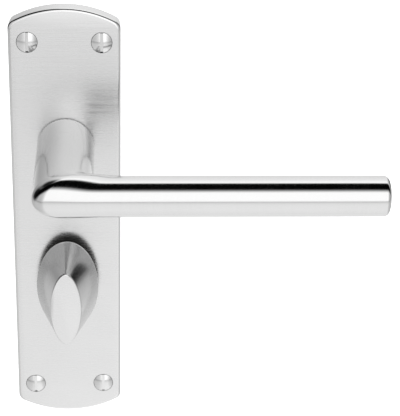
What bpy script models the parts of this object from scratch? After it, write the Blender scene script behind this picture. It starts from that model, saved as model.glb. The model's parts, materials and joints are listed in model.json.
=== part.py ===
"""Bathroom door lever handle on a backplate, one side of a door.

Units are metres.  +Z is up, +X is the way the lever points, and the door lies
behind the plate on the +Y side.  The origin is where the lever's spindle axis
crosses the door face, so a distance in front of the door is minus Y.
"""
import math

import bmesh
import bpy
from mathutils import Matrix, Vector

MM = 0.001

# ---------------------------------------------------------------- driving sizes
GAP = 0.3 * MM                    # clearance between pieces that touch

PLATE_WIDTH = 42.0 * MM
PLATE_HEIGHT = 170.0 * MM
PLATE_DEPTH = 9.2 * MM
PLATE_FACE = 2.0 * MM             # thickness of the front skin
PLATE_WALL = 2.5 * MM             # thickness of the side walls
PLATE_END_RADIUS = 41.0 * MM      # bow of the top and bottom ends
PLATE_CORNER_RADIUS = 2.6 * MM
PLATE_EDGE_RADIUS = 1.1 * MM      # rounding of the front edge
PLATE_ABOVE_SPINDLE = 53.4 * MM
LOCK_CENTRES = 57.0 * MM          # spindle axis to turn axis

FIX_SIDE_MARGIN = 7.1 * MM        # side of the plate to the screw centres
FIX_END_MARGIN = 12.8 * MM        # end of the plate to the screw centres
FIX_BOSS_WALL = 1.1 * MM          # metal round the countersink, behind the skin
FIX_SHANK = 4.0 * MM
FIX_HEAD = 8.0 * MM
FIX_HEAD_RAISE = 1.0 * MM
FIX_LENGTH = 25.0 * MM            # below the plate's face
FIX_SLOT_WIDTH = 1.1 * MM
FIX_SLOT_DEPTH = 1.3 * MM
FIX_THREAD_PITCH = 1.8 * MM
FIX_THREAD_CORE = 2.8 * MM
FIX_THREAD_LENGTH = 14.4 * MM

NECK_DIAMETER = 22.0 * MM
BAR_DIAMETER = 14.4 * MM
BAR_STAND_OFF = 54.6 * MM         # plate face to the bar's centre line
BAR_REACH = 114.2 * MM            # spindle axis to the free end
ELBOW_INNER_RADIUS = 3.5 * MM
ELBOW_OUTER_RADIUS = 4.6 * MM
NECK_OUTER_LEAN = 1.0 * MM        # the neck's outer side leans in by this at the elbow
BAR_END_RADIUS = 1.0 * MM
NECK_EDGE_RADIUS = 0.3 * MM

SPINDLE_SIDE = 8.0 * MM
SPINDLE_LENGTH = 98.0 * MM
SPINDLE_INSERT = 29.0 * MM        # from the door face into the neck
SPINDLE_CHAMFER = 0.6 * MM
GRUB_DIAMETER = 5.0 * MM
GRUB_RECESS = 0.7 * MM            # how far it stands below the neck's surface
GRUB_KEY = 2.5 * MM
GRUB_FROM_PLATE = 8.0 * MM
JOURNAL_WALL = 1.27 * MM          # metal outside the corners of the spindle's socket
JOURNAL_FLAT_WALL = 1.7 * MM      # metal between the socket and each flat

BUSH_WALL = 1.0 * MM
BUSH_FLANGE_WIDTH = 0.7 * MM
BUSH_FLANGE = 0.7 * MM
HOUSING_SHEET = 0.9 * MM
HOUSING_EAR_WIDTH = 9.0 * MM
HOUSING_EAR_STEP = 0.1 * MM       # the ears are pressed a little thinner
HOUSING_SCREW_ROOM = 1.6 * MM     # between the cup's rim and a screw's head
CAM_LAND = 0.7 * MM               # metal left outside the cam's slot
STOP_PIN_DIAMETER = 1.8 * MM
STOP_PIN_LAND = 0.5 * MM          # metal between the pin's hole and the bush
LEVER_TRAVEL = 40.0               # degrees, pressed down from level
SPRING_TURNS = 1.5
SPRING_SPACE = 0.35 * MM          # between neighbouring turns of the wire
SPRING_ROOM = 0.55 * MM           # between the spring and the cup's rim
CLIP_WIDTH = 2.6 * MM
CLIP_SEAT = 0.75 * MM             # depth of the clip's groove
COVER_FROM_DOOR = 0.6 * MM
CASSETTE_SCREW = 3.0 * MM
CASSETTE_SCREW_HEAD = 5.4 * MM
CASSETTE_SCREW_HEAD_HEIGHT = 1.6 * MM

# Thicknesses in the cassette, as shares of the depth of the hollow that holds it
HOUSING_BASE_SHARE = 0.139
CAM_SHARE = 0.194
WASHER_SHARE = 0.056
CLIP_SHARE = 0.097
COVER_SHARE = 0.083
WIRE_SHARE = 0.167

TURN_BASE_WIDTH = 24.7 * MM
TURN_BASE_HEIGHT = 38.4 * MM
TURN_GAP = 4.7 * MM               # plate face to the back of the knob
TURN_DEPTH = 22.1 * MM            # back of the knob to its front facet
TURN_LEAF_WIDTH = 11.7 * MM
TURN_LEAF_HEIGHT = 29.6 * MM
TURN_LEAF_POINT = 1.15            # 1 is a plain ellipse, more is more pointed
TURN_RIM_RADIUS = 0.4 * MM
TURN_COLLAR_LAND = 1.0 * MM       # how far the collar reaches past the bush
TURN_JOURNAL_WALL = 1.24 * MM     # metal outside the corners of the socket
TURN_SPINDLE_SIDE = 5.0 * MM
TURN_SPINDLE_LENGTH = 70.0 * MM
TURN_SPINDLE_INSERT = 13.0 * MM   # from the door face into the knob
TURN_CLIP_SEAT = 0.5 * MM
TURN_CLIP_WIDTH = 2.2 * MM
TURN_WASHER_WIDTH = 2.4 * MM
TURN_WAVE = 0.12 * MM
TURN_GRUB_DIAMETER = 3.0 * MM
TURN_GRUB_RECESS = 0.9 * MM

AROUND = 48                       # facets round a visible round piece
AROUND_SMALL = 32                 # facets round a hidden one

# ------------------------------------------------------- sizes that follow them
PLATE_TOP = PLATE_ABOVE_SPINDLE
PLATE_BOTTOM = PLATE_TOP - PLATE_HEIGHT
PLATE_MIDDLE = (PLATE_TOP + PLATE_BOTTOM) / 2
FRONT = PLATE_DEPTH               # distances in front of the door face
SKIN_BACK = PLATE_DEPTH - PLATE_FACE
BAR_OUT = FRONT + BAR_STAND_OFF
NECK_RADIUS = NECK_DIAMETER / 2
BAR_RADIUS = BAR_DIAMETER / 2

HOLLOW_DEPTH = PLATE_DEPTH - PLATE_FACE
HOUSING_BASE = HOLLOW_DEPTH * HOUSING_BASE_SHARE
CAM_THICKNESS = HOLLOW_DEPTH * CAM_SHARE
WASHER_THICKNESS = HOLLOW_DEPTH * WASHER_SHARE
CLIP_THICKNESS = HOLLOW_DEPTH * CLIP_SHARE
COVER_THICKNESS = HOLLOW_DEPTH * COVER_SHARE
SPRING_WIRE = HOLLOW_DEPTH * WIRE_SHARE
SPRING_PITCH = SPRING_WIRE + SPRING_SPACE

SOCKET_HALF = SPINDLE_SIDE / 2 + GAP
JOURNAL_RADIUS = SOCKET_HALF * math.sqrt(2) + JOURNAL_WALL
JOURNAL_FLATS = 2 * (SOCKET_HALF + JOURNAL_FLAT_WALL)
GRUB_LENGTH = NECK_RADIUS - SPINDLE_SIDE / 2 - GAP - GRUB_RECESS

BUSH_INNER = JOURNAL_RADIUS + GAP
BUSH_OUTER = BUSH_INNER + BUSH_WALL
LEVER_BORE = BUSH_OUTER + GAP
BUSH_RIM = BUSH_OUTER + BUSH_FLANGE_WIDTH
HOUSING_HOLE = BUSH_RIM + GAP
HOUSING_FRONT = SKIN_BACK - GAP
STOP_PIN_RADIUS = HOUSING_HOLE + STOP_PIN_LAND + STOP_PIN_DIAMETER / 2 + GAP
CAM_RADIUS = STOP_PIN_RADIUS + STOP_PIN_DIAMETER / 2 + GAP + CAM_LAND
SPRING_RADIUS = CAM_RADIUS + GAP + SPRING_WIRE / 2
HOUSING_RADIUS = SPRING_RADIUS + SPRING_WIRE / 2 + SPRING_ROOM + HOUSING_SHEET
HOUSING_SCREW_OFFSET = HOUSING_RADIUS + HOUSING_SCREW_ROOM + CASSETTE_SCREW_HEAD / 2
HOUSING_BACK = HOUSING_FRONT - HOUSING_BASE
CAM_FRONT = HOUSING_BACK - GAP
CAM_BACK = CAM_FRONT - CAM_THICKNESS
WASHER_FRONT = CAM_BACK - GAP
WASHER_BACK = WASHER_FRONT - WASHER_THICKNESS
CLIP_FRONT = WASHER_BACK - GAP
CLIP_BACK = CLIP_FRONT - CLIP_THICKNESS
JOURNAL_END = CLIP_BACK - GAP - 0.6 * MM
COVER_FRONT = COVER_FROM_DOOR + COVER_THICKNESS
COVER_HOLE = JOURNAL_RADIUS + 2 * GAP

TURN_HEIGHT = -LOCK_CENTRES
TURN_SOCKET_HALF = TURN_SPINDLE_SIDE / 2 + GAP
TURN_JOURNAL_RADIUS = TURN_SOCKET_HALF * math.sqrt(2) + TURN_JOURNAL_WALL
TURN_BUSH_INNER = TURN_JOURNAL_RADIUS + GAP
TURN_BUSH_OUTER = TURN_BUSH_INNER + BUSH_WALL
TURN_BORE = TURN_BUSH_OUTER + GAP
TURN_COLLAR_RADIUS = TURN_BUSH_OUTER + TURN_COLLAR_LAND
TURN_GRUB_LENGTH = TURN_COLLAR_RADIUS - TURN_SPINDLE_SIDE / 2 - GAP - TURN_GRUB_RECESS
TURN_BACK = FRONT + TURN_GAP
TURN_FRONT = TURN_BACK + TURN_DEPTH
TURN_WASHER_FRONT = SKIN_BACK - GAP - BUSH_FLANGE - GAP - TURN_WAVE
TURN_WASHER_BACK = TURN_WASHER_FRONT - WASHER_THICKNESS
TURN_CLIP_FRONT = TURN_WASHER_BACK - TURN_WAVE - GAP
TURN_CLIP_BACK = TURN_CLIP_FRONT - CLIP_THICKNESS
TURN_END = TURN_CLIP_BACK - GAP - 0.6 * MM

FIX_X = PLATE_WIDTH / 2 - FIX_SIDE_MARGIN
FIX_TOP = PLATE_TOP - FIX_END_MARGIN
FIX_BOTTOM = PLATE_BOTTOM + FIX_END_MARGIN
FIX_CONE = (FIX_HEAD - FIX_SHANK) / 2          # 90 degree countersink
FIX_BOSS_RADIUS = FIX_HEAD / 2 + GAP + FIX_BOSS_WALL

for old in list(bpy.data.objects):
    bpy.data.objects.remove(old, do_unlink=True)


# -------------------------------------------------------------------- materials
def material(name, colour, metallic, roughness):
    """A Principled material with the piece's colour, metal and roughness."""
    made = bpy.data.materials.new(name)
    made.use_nodes = True
    shader = made.node_tree.nodes["Principled BSDF"]
    shader.inputs["Base Color"].default_value = (*colour, 1.0)
    shader.inputs["Metallic"].default_value = metallic
    shader.inputs["Roughness"].default_value = roughness
    made.diffuse_color = (*colour, 1.0)
    return made


SATIN = material("satin stainless steel", (0.62, 0.62, 0.61), 1.0, 0.28)
SCREW_STEEL = material("polished stainless screw", (0.66, 0.66, 0.66), 1.0, 0.2)
PLATED = material("zinc plated steel", (0.55, 0.56, 0.58), 1.0, 0.4)
SPRING = material("spring steel", (0.28, 0.28, 0.29), 1.0, 0.35)
NYLON = material("white nylon", (0.82, 0.81, 0.78), 0.0, 0.5)
BLACKENED = material("blackened steel", (0.06, 0.06, 0.065), 1.0, 0.45)


# --------------------------------------------------------------- mesh from rings
def pivot(name, height):
    """An empty on a joint axis, which runs along Y."""
    empty = bpy.data.objects.new(name, None)
    empty.location = (0.0, 0.0, height)
    bpy.context.collection.objects.link(empty)
    return empty


def finish(name, bm, look, parent=None, smooth=35.0):
    """Turn a bmesh into a named object with its faces pointing out."""
    bmesh.ops.recalc_face_normals(bm, faces=bm.faces)
    mesh = bpy.data.meshes.new(name)
    bm.to_mesh(mesh)
    bm.free()
    if mesh.polygons and smooth:
        mesh.shade_smooth()
        mesh.set_sharp_from_angle(angle=math.radians(smooth))
    mesh.materials.append(look)
    made = bpy.data.objects.new(name, mesh)
    made.parent = parent
    bpy.context.collection.objects.link(made)
    return made


def loft(rings, closed=False):
    """Skin a list of equally long rings; the ends are capped unless closed."""
    bm = bmesh.new()
    rows = []
    for ring in rings:
        row = []
        for point in ring:
            row.append(bm.verts.new(point))
        rows.append(row)
    spans = list(zip(rows, rows[1:]))
    if closed:
        spans.append((rows[-1], rows[0]))
    for first, second in spans:
        count = len(first)
        for i in range(count):
            j = (i + 1) % count
            bm.faces.new((first[i], first[j], second[j], second[i]))
    if not closed:
        bm.faces.new(rows[0])
        bm.faces.new(rows[-1])
    return bm


def circle(radius, out, count=AROUND_SMALL, radius_z=None):
    """A ring about the Y axis, at a distance in front of the door."""
    tall = radius if radius_z is None else radius_z
    ring = []
    for i in range(count):
        angle = 2 * math.pi * i / count
        ring.append(Vector((radius * math.cos(angle), -out, tall * math.sin(angle))))
    return ring


def turned(name, profile, look, parent=None, count=AROUND_SMALL, tube=False):
    """A piece turned about the Y axis from (radius, distance out) points."""
    rings = [circle(radius, out, count) for radius, out in profile]
    return finish(name, loft(rings, closed=tube), look, parent)


def slab(name, outline, back, front, look, parent=None):
    """An outline in X and Z made into a plate between two distances."""
    rings = []
    for out in (back, front):
        rings.append([Vector((x, -out, z)) for x, z in outline])
    return finish(name, loft(rings), look, parent)


def block(name, low, high, look, parent=None, chamfer=0.0):
    """A box between two corners, with its edges along Y chamfered."""
    bm = bmesh.new()
    bmesh.ops.create_cube(bm, size=1.0)
    size = Vector(high) - Vector(low)
    middle = (Vector(high) + Vector(low)) / 2
    bmesh.ops.transform(bm, matrix=Matrix.Translation(middle) @ Matrix.Diagonal((*size, 1.0)), verts=bm.verts)
    if chamfer:
        bmesh.ops.bevel(bm, geom=bm.edges[:], offset=chamfer, segments=1, affect="EDGES")
    return finish(name, bm, look, parent)


def cutter(made):
    """Hide a tool body, which is not a piece of the handle."""
    made.hide_render = True
    made.display_type = "WIRE"
    return made


def combine(target, tool, operation="DIFFERENCE"):
    """Cut a tool body out of a piece, or join it on."""
    step = target.modifiers.new(tool.name, "BOOLEAN")
    step.operation = operation
    step.solver = "EXACT"
    step.object = cutter(tool)


def arc_points(radius, start, end, steps):
    """Points (x, z) on an arc; angles in degrees run from +X towards -Z."""
    points = []
    for i in range(steps + 1):
        angle = math.radians(start + (end - start) * i / steps)
        points.append((radius * math.cos(angle), -radius * math.sin(angle)))
    return points


def aim(made, degrees, radius=0.0):
    """Turn a tool about the Y axis and slide it out along that direction."""
    angle = math.radians(degrees)
    made.rotation_euler = (0.0, angle, 0.0)
    made.location = (radius * math.cos(angle), 0.0, -radius * math.sin(angle))
    return made


# -------------------------------------------------------------------- backplate
def plate_outline(inset):
    """The plate's outline, set in evenly, as (x, z) about its middle."""
    half_width = PLATE_WIDTH / 2 - inset
    half_height = PLATE_HEIGHT / 2 - inset
    bow = PLATE_END_RADIUS - inset
    corner = max(PLATE_CORNER_RADIUS - inset, 0.4 * MM)
    bow_centre = half_height - bow
    corner_x = half_width - corner
    corner_z = bow_centre + math.sqrt((bow - corner) ** 2 - corner_x ** 2)
    lean = math.atan2(corner_z - bow_centre, corner_x)
    quarter = []
    for i in range(6):
        angle = lean * i / 5
        quarter.append((corner_x + corner * math.cos(angle), corner_z + corner * math.sin(angle)))
    for i in range(1, 13):
        angle = lean + (math.pi / 2 - lean) * i / 12
        quarter.append((bow * math.cos(angle), bow_centre + bow * math.sin(angle)))
    top = quarter + [(-x, z) for x, z in quarter[-2::-1]]
    return top + [(-x, -z) for x, z in top]


def plate_ring(inset, out):
    return [Vector((x, -out, z + PLATE_MIDDLE)) for x, z in plate_outline(inset)]


rings = [plate_ring(PLATE_WALL, SKIN_BACK)]
rings.append(plate_ring(PLATE_WALL, 0.0))
rings.append(plate_ring(0.0, 0.0))
EDGE_STEPS = 5
for i in range(EDGE_STEPS + 1):
    angle = math.pi / 2 * i / EDGE_STEPS
    inset = PLATE_EDGE_RADIUS * (1 - math.cos(angle))
    rings.append(plate_ring(inset, FRONT - PLATE_EDGE_RADIUS * (1 - math.sin(angle))))
backplate = finish("backplate", loft(rings), SATIN)

fixings = {}
for side, x in (("left", -FIX_X), ("right", FIX_X)):
    fixings["top_" + side] = (x, FIX_TOP)
    fixings["bottom_" + side] = (x, FIX_BOTTOM)

for place, (x, z) in fixings.items():
    boss = turned("boss_" + place, [(FIX_BOSS_RADIUS, 0.0), (FIX_BOSS_RADIUS, SKIN_BACK + 0.5 * MM)], SATIN)
    boss.location = (x, 0.0, z)
    combine(backplate, boss, "UNION")

hole_radius = FIX_SHANK / 2 + GAP
head_radius = FIX_HEAD / 2 + GAP
head_cone = head_radius - hole_radius
for place, (x, z) in fixings.items():
    profile = [(hole_radius, -1 * MM)]
    profile.append((hole_radius, FRONT - head_cone))
    profile.append((head_radius, FRONT))
    profile.append((head_radius, FRONT + 1 * MM))
    hole = turned("countersink_" + place, profile, SATIN)
    hole.location = (x, 0.0, z)
    combine(backplate, hole)

bore = turned("lever_bore", [(LEVER_BORE, SKIN_BACK - 1 * MM), (LEVER_BORE, FRONT + 1 * MM)], SATIN)
combine(backplate, bore)
bore = turned("turn_bore", [(TURN_BORE, SKIN_BACK - 1 * MM), (TURN_BORE, FRONT + 1 * MM)], SATIN)
bore.location.z = TURN_HEIGHT
combine(backplate, bore)
CASSETTE_HOLE_END = SKIN_BACK + PLATE_FACE * 0.65
for sign, place in ((1, "upper"), (-1, "lower")):
    radius = CASSETTE_SCREW / 2 + GAP
    bore = turned("cassette_hole_" + place, [(radius, SKIN_BACK - 1 * MM), (radius, CASSETTE_HOLE_END)], SATIN)
    bore.location.z = sign * HOUSING_SCREW_OFFSET
    combine(backplate, bore)


# --------------------------------------------------------------- fixing screws
def thread_ring(out, depth_here, count):
    """One ring of a wood thread: the radius follows a helix."""
    ring = []
    for i in range(count):
        turn = (i / count + out / FIX_THREAD_PITCH) % 1.0
        crest = max(0.0, 1.0 - abs(turn - 0.5) * 3.0)
        radius = FIX_THREAD_CORE / 2 + depth_here * crest
        angle = 2 * math.pi * i / count
        ring.append(Vector((radius * math.cos(angle), -out, radius * math.sin(angle))))
    return ring


def fixing_screw_mesh():
    """Slotted screw with a raised countersunk head; its origin is on the door."""
    count = 16
    rings = []
    tip = FRONT - FIX_LENGTH
    rings.append(circle(0.15 * MM, tip, count))
    rings.append(circle(FIX_THREAD_CORE / 2, tip + 2.4 * MM, count))
    deep = (FIX_SHANK - FIX_THREAD_CORE) / 2
    steps = int(round(FIX_THREAD_LENGTH / FIX_THREAD_PITCH * 3))
    for i in range(steps + 1):
        out = tip + 2.5 * MM + FIX_THREAD_LENGTH * i / steps
        fade = min(1.0, i / 3, (steps - i) / 3)
        rings.append(thread_ring(out, deep * fade, count))
    rings.append(circle(FIX_SHANK / 2, tip + 3.2 * MM + FIX_THREAD_LENGTH, count))
    rings.append(circle(FIX_SHANK / 2, FRONT - FIX_CONE, count))
    rings.append(circle(FIX_HEAD / 2, FRONT, count))
    dome = (FIX_HEAD ** 2 / 4 + FIX_HEAD_RAISE ** 2) / (2 * FIX_HEAD_RAISE)
    widest = math.asin(FIX_HEAD / 2 / dome)
    for i in range(1, 5):
        angle = widest * (1 - i / 5)
        raise_here = dome * math.cos(angle) - (dome - FIX_HEAD_RAISE)
        rings.append(circle(dome * math.sin(angle), FRONT + raise_here, count))
    return loft(rings)


for place, (x, z) in fixings.items():
    screw = finish("screw_" + place, fixing_screw_mesh(), SCREW_STEEL)
    screw.location = (x, 0.0, z)
    slot = block("slot_" + place,
                 (-FIX_SLOT_WIDTH / 2, -FRONT - FIX_HEAD_RAISE - 1 * MM, -FIX_HEAD),
                 (FIX_SLOT_WIDTH / 2, -FRONT - FIX_HEAD_RAISE + FIX_SLOT_DEPTH, FIX_HEAD), SCREW_STEEL)
    slot.location = (x, 0.0, z)
    combine(screw, slot)

# ----------------------------------------------------------------- lever handle
lever_pivot = pivot("lever_pivot", 0.0)
turn_pivot = pivot("turn_pivot", TURN_HEIGHT)


def oval_ring(inner, outer, tall):
    """An oval section between points (x, out) on the inner and the outer side."""
    inner = Vector((inner[0], -inner[1], 0.0))
    outer = Vector((outer[0], -outer[1], 0.0))
    middle = (inner + outer) / 2
    half = (inner - outer) / 2
    ring = []
    for i in range(AROUND):
        turn = 2 * math.pi * i / AROUND
        ring.append(middle + half * math.cos(turn) + Vector((0.0, 0.0, tall * math.sin(turn))))
    return ring


def elbow_ring(step):
    """A section of the elbow; step runs 0 at the neck to 1 at the bar."""
    angle = math.pi / 2 * step
    inner_x = NECK_RADIUS + ELBOW_INNER_RADIUS * (1 - math.cos(angle))
    inner = (inner_x, NECK_INNER_END + ELBOW_INNER_RADIUS * math.sin(angle))
    outer_x = NECK_OUTER_LEAN - NECK_RADIUS + ELBOW_OUTER_RADIUS * (1 - math.cos(angle))
    outer = (outer_x, NECK_OUTER_END + ELBOW_OUTER_RADIUS * math.sin(angle))
    return oval_ring(inner, outer, BAR_RADIUS)


NECK_INNER_END = BAR_OUT - BAR_RADIUS - ELBOW_INNER_RADIUS
NECK_OUTER_END = BAR_OUT + BAR_RADIUS - ELBOW_OUTER_RADIUS
rings = []
neck_start = FRONT + GAP
groove_radius = JOURNAL_RADIUS - CLIP_SEAT
for radius, out in ((JOURNAL_RADIUS - 0.3 * MM, JOURNAL_END),
                    (JOURNAL_RADIUS, JOURNAL_END + 0.3 * MM),
                    (JOURNAL_RADIUS, CLIP_BACK - GAP),
                    (groove_radius, CLIP_BACK - GAP),
                    (groove_radius, CLIP_FRONT + GAP),
                    (JOURNAL_RADIUS, CLIP_FRONT + GAP),
                    (JOURNAL_RADIUS, neck_start),
                    (NECK_RADIUS - NECK_EDGE_RADIUS, neck_start),
                    (NECK_RADIUS, neck_start + NECK_EDGE_RADIUS)):
    rings.append(circle(radius, out, AROUND))
# The neck is round at the plate and falls to the bar's height at the elbow.
NECK_STEPS = 8
neck_base = neck_start + NECK_EDGE_RADIUS
for i in range(1, NECK_STEPS):
    share = i / NECK_STEPS
    fall = share * share * (3 - 2 * share)
    rings.append(oval_ring((NECK_RADIUS, neck_base + (NECK_INNER_END - neck_base) * share),
                           (NECK_OUTER_LEAN * share - NECK_RADIUS, neck_base + (NECK_OUTER_END - neck_base) * share),
                           NECK_RADIUS + (BAR_RADIUS - NECK_RADIUS) * fall))
ELBOW_STEPS = 8
for i in range(ELBOW_STEPS + 1):
    rings.append(elbow_ring(i / ELBOW_STEPS))
for i in range(5):
    angle = math.pi / 2 * i / 4
    inset = BAR_END_RADIUS * (1 - math.cos(angle))
    reach = BAR_REACH - BAR_END_RADIUS * (1 - math.sin(angle))
    rings.append(oval_ring((reach, BAR_OUT - BAR_RADIUS + inset), (reach, BAR_OUT + BAR_RADIUS - inset),
                           BAR_RADIUS - inset))
lever = finish("lever_handle", loft(rings), SATIN, lever_pivot)

for sign, place in ((1, "upper"), (-1, "lower")):
    flat = block("journal_flat_" + place,
                 (-JOURNAL_RADIUS - 1 * MM, -CAM_FRONT - GAP / 2, 0.0),
                 (JOURNAL_RADIUS + 1 * MM, -JOURNAL_END + 1 * MM, 4 * MM), SATIN, lever_pivot)
    flat.location.z = JOURNAL_FLATS / 2 if sign > 0 else -JOURNAL_FLATS / 2 - 4 * MM
    combine(lever, flat)

socket = block("spindle_socket",
               (-SOCKET_HALF, -SPINDLE_INSERT - 1 * MM, -SOCKET_HALF),
               (SOCKET_HALF, -JOURNAL_END + 1 * MM, SOCKET_HALF), SATIN, lever_pivot)
combine(lever, socket)

GRUB_OUT = FRONT + GRUB_FROM_PLATE


def radial_screw(name, diameter, length, key, top, out, look, parent):
    """A headless screw that stands under the Y axis and points up at it."""
    bm = bmesh.new()
    radius = diameter / 2
    rows = []
    heights = [(radius * 0.55, top), (radius, top - radius * 0.45)]
    heights += [(radius, top - length + 0.2 * MM), (radius - 0.2 * MM, top - length)]
    socket_radius = key / math.sqrt(3)
    heights += [(socket_radius, top - length), (socket_radius, top - length + key)]
    for row_radius, height in heights:
        row = []
        for i in range(24):
            angle = 2 * math.pi * i / 24
            reach = row_radius
            if row_radius == socket_radius:
                corner = (angle % (math.pi / 3)) - math.pi / 6
                reach = key / 2 / math.cos(corner)
            row.append(bm.verts.new((reach * math.cos(angle), -out + reach * math.sin(angle), height)))
        rows.append(row)
    for first, second in zip(rows, rows[1:]):
        for i in range(24):
            j = (i + 1) % 24
            bm.faces.new((first[i], first[j], second[j], second[i]))
    bm.faces.new(rows[0])
    bm.faces.new(rows[-1])
    return finish(name, bm, look, parent)


def radial_bore(name, diameter, top, bottom, out, parent):
    """A plain hole under the Y axis for a headless screw."""
    bm = bmesh.new()
    bmesh.ops.create_cone(bm, cap_ends=True, segments=24, radius1=diameter / 2 + GAP,
                          radius2=diameter / 2 + GAP, depth=top - bottom)
    bmesh.ops.translate(bm, vec=(0.0, -out, (top + bottom) / 2), verts=bm.verts)
    return finish(name, bm, SATIN, parent)


combine(lever, radial_bore("lever_grub_hole", GRUB_DIAMETER, -SOCKET_HALF + 1 * MM,
                           -NECK_RADIUS - 1 * MM, GRUB_OUT, lever_pivot))
radial_screw("lever_grub_screw", GRUB_DIAMETER, GRUB_LENGTH, GRUB_KEY,
             -SPINDLE_SIDE / 2 - GAP, GRUB_OUT, BLACKENED, lever_pivot)

block("lever_spindle",
      (-SPINDLE_SIDE / 2, -SPINDLE_INSERT, -SPINDLE_SIDE / 2),
      (SPINDLE_SIDE / 2, SPINDLE_LENGTH - SPINDLE_INSERT, SPINDLE_SIDE / 2),
      PLATED, lever_pivot, SPINDLE_CHAMFER)


# ------------------------------------------------------ bearings and the cassette
def flanged_bush(name, inner, outer, rim, height):
    """A nylon bush: sleeve through the plate, flange behind the front skin."""
    flange_front = SKIN_BACK - GAP
    flange_back = flange_front - BUSH_FLANGE
    profile = [(inner, flange_back), (rim, flange_back), (rim, flange_front)]
    profile += [(outer, flange_front), (outer, FRONT), (inner, FRONT)]
    bush = turned(name, profile, NYLON, tube=True)
    bush.location.z = height
    return bush


flanged_bush("lever_bush", BUSH_INNER, BUSH_OUTER, BUSH_RIM, 0.0)
flanged_bush("turn_bush", TURN_BUSH_INNER, TURN_BUSH_OUTER, TURN_BUSH_OUTER + 2 * MM, TURN_HEIGHT)

# The cassette is a pressed cup with two ears, held by two small screws.
rim_inside = HOUSING_RADIUS - HOUSING_SHEET
profile = [(HOUSING_HOLE, HOUSING_BACK), (HOUSING_HOLE, HOUSING_FRONT)]
profile += [(HOUSING_RADIUS, HOUSING_FRONT), (HOUSING_RADIUS, COVER_FROM_DOOR)]
profile += [(rim_inside, COVER_FROM_DOOR), (rim_inside, HOUSING_BACK)]
housing = turned("cassette_housing", profile, PLATED, tube=True)
ear_length = HOUSING_SCREW_OFFSET + HOUSING_EAR_WIDTH / 2
for sign, place in ((1, "upper"), (-1, "lower")):
    outline = [(-HOUSING_EAR_WIDTH / 2, rim_inside - 1 * MM)]
    for i in range(9):
        angle = math.pi * (1 - i / 8)
        outline.append((HOUSING_EAR_WIDTH / 2 * math.cos(angle),
                        HOUSING_SCREW_OFFSET + HOUSING_EAR_WIDTH / 2 * math.sin(angle)))
    outline.append((HOUSING_EAR_WIDTH / 2, rim_inside - 1 * MM))
    ear = slab("ear_" + place, [(x, sign * z) for x, z in outline],
               HOUSING_BACK + HOUSING_EAR_STEP, HOUSING_FRONT - HOUSING_EAR_STEP, PLATED)
    combine(housing, ear, "UNION")
for sign, place in ((1, "upper"), (-1, "lower")):
    hole = turned("ear_hole_" + place, [(CASSETTE_SCREW / 2 + GAP, HOUSING_BACK - 1 * MM),
                                        (CASSETTE_SCREW / 2 + GAP, HOUSING_FRONT + 1 * MM)], PLATED)
    hole.location.z = sign * HOUSING_SCREW_OFFSET
    combine(housing, hole)

# Angles about the axis are in degrees, from +X round towards -Z, the way that
# the lever turns when it is pressed.
STOP_ANGLE = 94.0
SPRING_CAM_ANGLE = -90.0
SPRING_HOUSING_ANGLE = SPRING_CAM_ANGLE + 360.0 * SPRING_TURNS

pin_hole = turned("stop_pin_hole", [(STOP_PIN_DIAMETER / 2 + GAP, HOUSING_BACK - 1 * MM),
                                    (STOP_PIN_DIAMETER / 2 + GAP, HOUSING_FRONT + 1 * MM)], PLATED)
combine(housing, aim(pin_hole, STOP_ANGLE, STOP_PIN_RADIUS))
notch_half = SPRING_WIRE / 2 + GAP
spring_far = CAM_FRONT - SPRING_WIRE / 2
spring_near = spring_far - SPRING_PITCH * SPRING_TURNS
notch = block("spring_notch", (rim_inside - 1 * MM, -spring_near - notch_half, -notch_half),
              (HOUSING_RADIUS + 1 * MM, 0.0, notch_half), PLATED)
combine(housing, aim(notch, SPRING_HOUSING_ANGLE))

turned("cassette_cover", [(COVER_HOLE, COVER_FROM_DOOR), (rim_inside - GAP, COVER_FROM_DOOR),
                          (rim_inside - GAP, COVER_FRONT), (COVER_HOLE, COVER_FRONT)],
       PLATED, tube=True)

pin_back = CAM_BACK - GAP
stop_pin = turned("stop_pin", [(STOP_PIN_DIAMETER / 2, pin_back), (STOP_PIN_DIAMETER / 2, HOUSING_FRONT)],
                  PLATED, count=16)
aim(stop_pin, STOP_ANGLE, STOP_PIN_RADIUS)

for sign, place in ((1, "upper"), (-1, "lower")):
    head_front = HOUSING_BACK - GAP
    head_back = head_front - CASSETTE_SCREW_HEAD_HEIGHT
    key_radius = CASSETTE_SCREW_HEAD / 4
    profile = [(key_radius, head_back + 0.9 * MM), (key_radius, head_back)]
    profile += [(CASSETTE_SCREW_HEAD / 2 - 0.4 * MM, head_back), (CASSETTE_SCREW_HEAD / 2, head_back + 0.4 * MM)]
    profile += [(CASSETTE_SCREW_HEAD / 2, head_front), (CASSETTE_SCREW / 2, head_front)]
    profile += [(CASSETTE_SCREW / 2, CASSETTE_HOLE_END - GAP)]
    screw = turned("cassette_screw_" + place, profile, PLATED, count=24)
    screw.location.z = sign * HOUSING_SCREW_OFFSET

# The cam turns with the lever and winds the spring; its long slot meets the pin.
cam = turned("drive_cam", [(BUSH_OUTER * 0.2, CAM_BACK), (CAM_RADIUS, CAM_BACK),
                           (CAM_RADIUS, CAM_FRONT), (BUSH_OUTER * 0.2, CAM_FRONT)],
             PLATED, lever_pivot, tube=True, count=AROUND)
hole_outline = []
cam_hole = JOURNAL_RADIUS + GAP
flat_half = JOURNAL_FLATS / 2 + GAP
flat_angle = math.degrees(math.asin(flat_half / cam_hole))
hole_outline += arc_points(cam_hole, -flat_angle, flat_angle, 12)
hole_outline += arc_points(cam_hole, 180 - flat_angle, 180 + flat_angle, 12)
combine(cam, slab("cam_hole", hole_outline, CAM_BACK - 1 * MM, CAM_FRONT + 1 * MM, PLATED, lever_pivot))
slot_half = STOP_PIN_DIAMETER / 2 + GAP
slot_outline = arc_points(STOP_PIN_RADIUS + slot_half, STOP_ANGLE - LEVER_TRAVEL, STOP_ANGLE, 12)
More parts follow.
